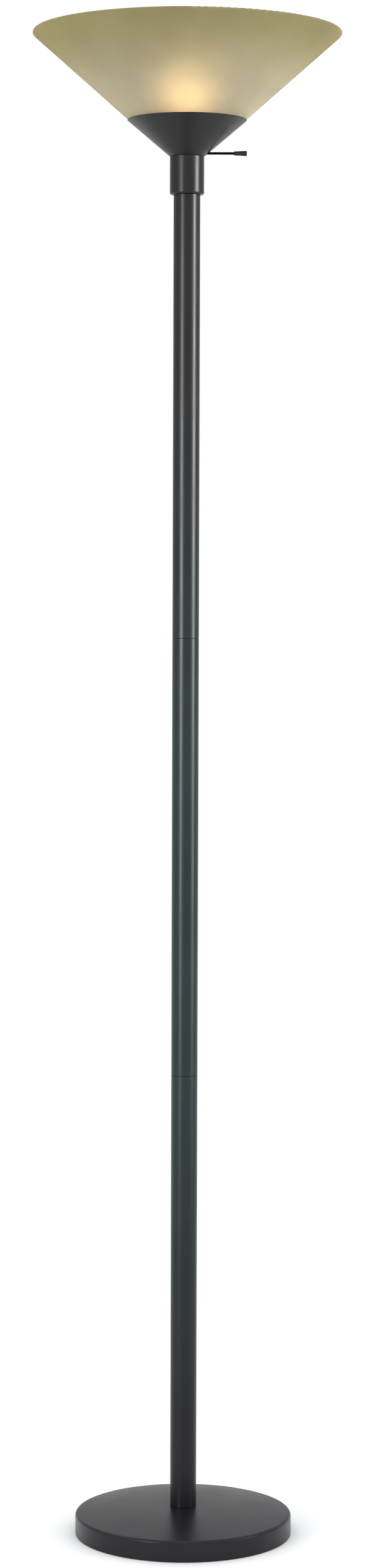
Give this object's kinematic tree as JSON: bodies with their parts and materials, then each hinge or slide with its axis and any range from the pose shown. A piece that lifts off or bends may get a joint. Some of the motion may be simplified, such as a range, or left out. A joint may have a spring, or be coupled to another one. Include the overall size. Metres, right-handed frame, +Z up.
{
  "type": "torchiere floor lamp",
  "caption": "Floor lamp with a heavy round base, a slim straight pole and a wide conical glass bowl that throws its light upwards; a turn switch stands out below the bowl.",
  "frame": {"origin": "centre of the base, on the floor", "axes": "+Z up along the pole, +X towards the switch knob, +Y towards the back, where the cord enters"},
  "size_m": [0.3556, 0.3556, 1.75],
  "materials": {
    "bronze_paint": "satin baked enamel, very dark bronze",
    "felt_pad": "dense pressed felt",
    "iron_casting": "as cast",
    "zinc_steel": "zinc plated",
    "black_plastic": "semi-gloss moulded",
    "black_steel": "blackened steel",
    "amber_glass": "amber glass, etched to a soft satin",
    "silicone_gasket": "translucent silicone",
    "holder_plastic": "black phenolic moulding",
    "holder_insulation": "unpainted phenolic moulding",
    "holder_brass": "drawn brass",
    "lit_bulb": "frosted, lit",
    "bulb_aluminium": "rolled sheet",
    "bulb_black_glass": "fused glass, black",
    "solder": "soft solder",
    "clear_glass": "clear, fire polished",
    "nickel_wire": "drawn nickel",
    "tungsten": "coiled wire, glowing",
    "lead_sheath": "black sheath",
    "line_wire": "black insulation",
    "neutral_wire": "white insulation"
  },
  "bodies": {
    "lamp": {"base_cover": "bronze_paint", "base_felt": "felt_pad", "base_flat_washer": "zinc_steel", "base_lock_washer": "zinc_steel", "base_nipple": "zinc_steel", "base_nut": "zinc_steel", "base_plate": "zinc_steel", "base_plate_screw_1": "zinc_steel", "base_plate_screw_2": "zinc_steel", "base_plate_screw_3": "zinc_steel", "base_weight": "iron_casting", "cord_gland": "black_plastic", "glass_shade": "amber_glass", "inner_lead": "lead_sheath", "line_tail": "line_wire", "line_terminal": "holder_brass", "line_terminal_screw": "zinc_steel", "neck_collar": "bronze_paint", "neck_flat_washer": "zinc_steel", "neck_lock_washer": "zinc_steel", "neck_nipple": "zinc_steel", "neck_nut": "zinc_steel", "neutral_tail": "neutral_wire", "neutral_terminal": "holder_brass", "neutral_terminal_screw": "zinc_steel", "pole_coupler_1": "zinc_steel", "pole_coupler_2": "zinc_steel", "pole_lower_foot_insert": "zinc_steel", "pole_lower_head_insert": "zinc_steel", "pole_lower_tube": "bronze_paint", "pole_middle_foot_insert": "zinc_steel", "pole_middle_head_insert": "zinc_steel", "pole_middle_tube": "bronze_paint", "pole_upper_foot_insert": "zinc_steel", "pole_upper_head_insert": "zinc_steel", "pole_upper_tube": "bronze_paint", "shade_cup": "bronze_paint", "shade_gasket": "silicone_gasket", "shade_ring": "black_plastic", "shade_support": "zinc_steel", "socket_cap": "holder_brass", "socket_centre_contact": "holder_brass", "socket_insulator": "holder_insulation", "socket_rivet": "holder_brass", "socket_screw_shell": "holder_brass", "socket_shell": "holder_plastic", "switch_bushing": "holder_brass", "switch_load_leaf": "holder_brass"},
    "switch": {"switch_rotor": "holder_insulation", "switch_wiper": "holder_brass", "switch_stem": "black_steel", "switch_knob": "black_plastic"},
    "bulb": {"bulb_glass": "lit_bulb", "bulb_cap": "bulb_aluminium", "bulb_cap_insulator": "bulb_black_glass", "bulb_tip_contact": "solder", "bulb_mount": "clear_glass", "bulb_wires": "nickel_wire", "bulb_filament": "tungsten"}
  },
  "joints": [
    {"name": "switch_turn", "type": "hinge", "parent": "lamp", "child": "switch", "pos_m": [0, 0, 1.6115], "axis": [1, 0, 0], "continuous": true},
    {"name": "bulb_lift", "type": "slide", "parent": "lamp", "child": "bulb", "axis": [0, 0, 1], "range_m": [0, 0.14]}
  ]
}
